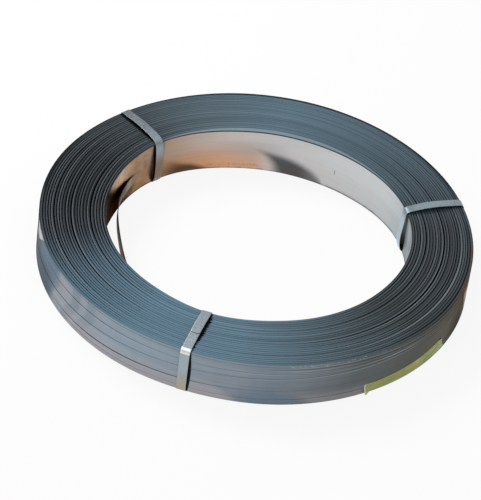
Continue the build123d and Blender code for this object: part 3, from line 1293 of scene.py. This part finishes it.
@dataclass
class TapeStrip:
    """The strip of masking tape low on the outer face, with its ends torn and one corner lifted."""

    low: float
    outer_radius: float
    start: float = -56.0
    stop: float = -26.5
    top_left: float = 14.9 * MM
    top_right: float = 22.0 * MM
    width: float = 19.0 * MM
    thickness: float = 0.18 * MM
    lift: float = 4.6 * MM
    stand_off: float = 0.12 * MM
    crepe_height: float = 0.08 * MM
    curl: float = 0.9 * MM
    tears: tuple[tuple[float, float, float], ...] = ((0.22, 17, 0), (0.12, 41, 1))
    waves: int = 6
    right_lean: float = 1.9
    top_bend: float = 1.7
    peel_along: float = 0.07
    peel_across: float = 0.75
    curl_from: float = 0.97
    steps: int = 150
    rows: int = 22
    seed: int = 5

    def build(self, finish: Material) -> Piece:
        """Lays a grid on the coil's outer face, then tears its ends and lifts its corner."""
        draw = random.Random(self.seed)
        waves = [(draw.uniform(20, 90), draw.uniform(0, math.tau)) for _ in range(self.waves)]
        bm = bmesh.new()
        bmesh.ops.create_grid(bm, x_segments=self.steps, y_segments=self.rows, size=0.5)
        for corner in bm.verts:
            along, across = corner.co.x + 0.5, corner.co.y + 0.5
            torn = sum(reach * math.sin(f * across + p) for reach, f, p in self.tears)
            left = self.start + 0.04 * torn
            right = self.stop + torn - self.right_lean * across + 0.5
            azimuth = math.radians(left + (right - left) * along)
            top = self.top_left + (self.top_right - self.top_left) * along**self.top_bend
            bottom = max(self.low + 0.1 * MM, top - self.width)
            height = bottom + (top - bottom) * across
            crepe = sum(math.sin(f * along * 3 + p + 2 * across) for f, p in waves) / self.waves
            peel = self.lift * smooth(self.peel_along, 0.0, along)
            peel *= smooth(self.peel_across, 0.0, across) ** 1.5
            curl = self.curl * smooth(self.curl_from, 1.0, along) * across
            radius = self.outer_radius + self.stand_off + self.crepe_height * crepe + peel + curl
            corner.co = polar(azimuth, radius, height)
        bmesh.ops.recalc_face_normals(bm, faces=bm.faces)
        piece = make_piece("masking_tape_strip", bm, finish)
        give_thickness(piece, self.thickness, 0.0, 0.0)
        shade(piece, 50)
        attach(piece, ROOT)
        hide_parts("tape_strip")
        return piece


# Studio


@dataclass(frozen=True)
class Softbox:
    """A square area lamp that looks at the coil."""

    name: str
    azimuth: float
    elevation: float
    distance: float
    size: float
    power: float
    tint: tuple[float, float, float] = (1.0, 1.0, 1.0)

    def build(self) -> None:
        """Makes the lamp and aims it."""
        lamp = bpy.data.lights.new(self.name, "AREA")
        lamp.size = self.size
        lamp.energy = self.power
        lamp.color = self.tint
        holder = bpy.data.objects.new(self.name, lamp)
        rise = math.radians(self.elevation)
        level, height = self.distance * math.cos(rise), self.distance * math.sin(rise)
        spot = polar(math.radians(self.azimuth), level, height)
        holder.matrix_world = Matrix.Translation(spot) @ spot.to_track_quat("Z", "Y").to_matrix().to_4x4()
        bpy.context.scene.collection.objects.link(holder)


@dataclass
class Studio:
    """Pale floor, soft lamps and the camera."""

    target: tuple[float, float, float] = (-17.35 * MM, -23.60 * MM, 32.95 * MM)
    elevation: float = 38.426
    roll: float = 7.759
    distance: float = 3.8084
    focal_pixels: float = 2876.03
    image_long_side: float = 500.0
    sensor: float = 36.0
    floor_size: float = 12.0
    floor_tint: Colour = (0.86, 0.86, 0.86, 1.0)
    floor_glow: float = 0.88
    sky_tint: Colour = (0.96, 0.98, 1.0, 1.0)
    world_strength: float = 0.45
    softboxes: tuple[Softbox, ...] = (
        Softbox("key_back_left", 140, 42, 2.6, 1.1, 44.0),
        Softbox("overhead", -95, 76, 2.4, 1.4, 10.0),
    )

    def camera(self) -> None:
        """Places the camera at the photograph's viewing angle."""
        data = bpy.data.cameras.new("camera")
        data.sensor_width = self.sensor
        data.lens = self.focal_pixels * self.sensor / self.image_long_side
        data.clip_start, data.clip_end = 0.1, 50.0
        holder = bpy.data.objects.new("camera", data)
        rise = math.radians(self.elevation)
        back = Vector((0, -math.cos(rise), math.sin(rise)))
        up = Vector((0, math.sin(rise), math.cos(rise)))
        axes = Matrix((Vector((1, 0, 0)), up, back)).transposed().to_4x4()
        tilt = Matrix.Rotation(math.radians(self.roll), 4, "Z")
        holder.matrix_world = Matrix.Translation(Vector(self.target) + back * self.distance) @ axes @ tilt
        bpy.context.scene.collection.objects.link(holder)
        bpy.context.scene.camera = holder

    def seen_or_mirrored(self, g: Graph) -> Socket:
        """1 where the camera sees a surface directly, in a reflection or through glass."""
        path = g.node("LightPath").outputs
        mirrored = g.math("MAXIMUM", path["Is Glossy Ray"], path["Is Transmission Ray"])
        return g.math("MAXIMUM", path["Is Camera Ray"], mirrored)

    def floor(self) -> None:
        """Lays a white floor that keeps a light shadow."""
        bm = bmesh.new()
        bmesh.ops.create_grid(bm, x_segments=1, y_segments=1, size=self.floor_size / 2)
        finish = bpy.data.materials.new("studio_floor")
        finish.use_nodes = True
        g = Graph(finish.node_tree)
        g.tree.nodes.clear()
        matt = g.node("BsdfDiffuse", {"Color": self.floor_tint})
        share = g.math("MULTIPLY", self.seen_or_mirrored(g), self.floor_glow)
        mix = g.node("MixShader", {0: share, 1: matt.outputs[0], 2: g.node("Emission").outputs[0]})
        g.node("OutputMaterial", {0: mix.outputs[0]})
        make_piece("studio_floor", bm, finish)

    def world(self) -> None:
        """Lights the scene evenly."""
        world = bpy.data.worlds.new("studio_world")
        bpy.context.scene.world = world
        world.use_nodes = True
        g = Graph(world.node_tree)
        g.tree.nodes.clear()
        sky = g.node("Background", {"Color": self.sky_tint, "Strength": self.world_strength})
        g.node("OutputWorld", {0: sky.outputs[0]})

    def build(self) -> None:
        """Builds the whole studio."""
        self.camera()
        self.floor()
        self.world()
        for softbox in self.softboxes:
            softbox.build()
        bpy.context.scene.view_settings.view_transform = "Standard"


def ties(bore_radius: float, low: float) -> list[TieStrap]:
    """The three ties, each with its own slack.

    Args:
        bore_radius: The coil's bore radius.
        low: The height of the coil's underside.

    Returns:
        The right, back left and front tie.
    """
    return [
        TieStrap(
            "galvanised_tie_right", "tie_strap_right", RIGHT, bore_radius, low,
            ((5.2, 0.2), (9.0, 0.0), (30.0, 0.0), (58.0, 0.0), (80.0, 0.0), (85.2, 0.0), (86.4, 0.9),
             (86.9, 5.0), (87.1, 18.0), (87.2, 40.0), (86.9, 58.0), (86.3, 63.4), (84.6, 65.4),
             (80.5, 66.5), (66.0, 67.9), (50.0, 69.2), (38.0, 69.6), (26.0, 69.0), (15.0, 67.6),
             (9.0, 67.0), (6.0, 66.4), (4.2, 65.3), (3.0, 63.4), (2.3, 60.0), (1.9, 54.0), (1.0, 42.0),
             (-0.5, 28.0), (-0.4, 15.0), (1.2, 6.5), (2.9, 2.2)),
            bore_aside=-2.5, face_aside=4.5,
        ),
        TieStrap(
            "galvanised_tie_back_left", "tie_strap_back_left", BACK_LEFT, bore_radius, low,
            ((3.6, 0.0), (8.0, 0.0), (30.0, 0.0), (58.0, 0.0), (82.0, 0.0), (84.6, 0.0), (86.1, 1.5),
             (86.6, 18.0), (86.6, 40.0), (85.9, 61.0), (85.0, 64.6), (83.0, 65.6), (79.0, 65.8),
             (68.0, 66.4), (58.0, 68.9), (40.0, 69.5), (22.0, 69.8), (10.0, 68.0), (5.0, 66.6),
             (2.5, 64.0), (0.9, 59.0), (-0.3, 52.0), (-1.6, 38.0), (-2.3, 23.0), (-2.3, 10.0),
             (0.0, 4.0), (1.8, 0.6)),
            bore_aside=2.1, face_aside=-3.5,
        ),
        TieStrap(
            "galvanised_tie_front", "tie_strap_front", FRONT, bore_radius, low,
            ((50.5, 67.9), (47.0, 68.0), (30.0, 68.2), (14.0, 66.9), (5.2, 65.8), (1.6, 65.7),
             (-0.3, 63.2), (-1.0, 46.0), (-1.3, 30.0), (-0.9, 14.0), (-0.2, 3.0), (0.6, 0.4),
             (2.2, 0.0), (5.0, 0.0), (30.0, 0.0), (58.0, 0.0), (82.0, 0.0), (84.6, 0.0), (86.0, 1.5),
             (86.6, 14.0), (86.8, 34.0), (86.6, 56.0), (85.8, 63.0), (84.0, 65.2), (78.0, 65.9),
             (60.0, 66.9), (44.0, 67.2), (30.0, 67.4), (14.0, 66.2), (5.4, 65.1), (2.0, 65.0),
             (0.4, 62.8), (-0.3, 46.0), (-0.3, 34.0)),
            closed=False,
        ),
    ]


def main() -> None:
    """Builds every piece round the frame and reports it."""
    logging.basicConfig(level=logging.INFO, format="%(message)s")
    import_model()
    coil_low, coil_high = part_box("strapping_coil")
    Studio().build()
    effects = Effects()

    coil = WoundCoil(low=coil_low.z, high=coil_high.z, outer_radius=coil_high.x)
    coil_finishes = (
        EdgeFinish(),
        OuterFaceFinish(),
        BoreFaceFinish("bright_bore_face", (0.4, 0.4, 0.4, 1.0)),
        BoreFaceFinish("bronze_bore_face", (0.16, 0.12, 0.1, 1.0)),
    )
    pieces = [
        coil.build(*(finish.build(effects) for finish in coil_finishes)),
        LooseEnd(coil.low, coil.bore_radius, coil.bore_shift).build(LooseEndFinish().build(effects)),
    ]
    # The ties share one zinc; their different tints, and those on their legs, stand partly for how each tie
    # is lit.
    zincs = (
        GalvanisedFinish("galvanised_right", "9caab1", "cfe0e9", "a3b1b8", outward_painted_light=0.23,
                         bore_tint_full=50.0, bore_tint_from=70.0),
        GalvanisedFinish("galvanised_back_left", "949fa6", "846f5f", "87929a", outward_painted_light=-0.38),
        GalvanisedFinish("galvanised_front", "a9b5bd", "a9b5bd", "c3b7a6", bend_glare=0.9),
    )
    for tie, zinc in zip(ties(coil.bore_radius, coil.low), zincs):
        pieces.append(tie.build(zinc.build(effects)))
    tape = TapeStrip(coil.low, coil.outer_radius)
    pieces.append(tape.build(MaskingTapeFinish().build(effects)))
    for piece in pieces:
        log.info("%s: %d faces", piece.name, len(piece.data.polygons))


if __name__ == "__main__":
    main()
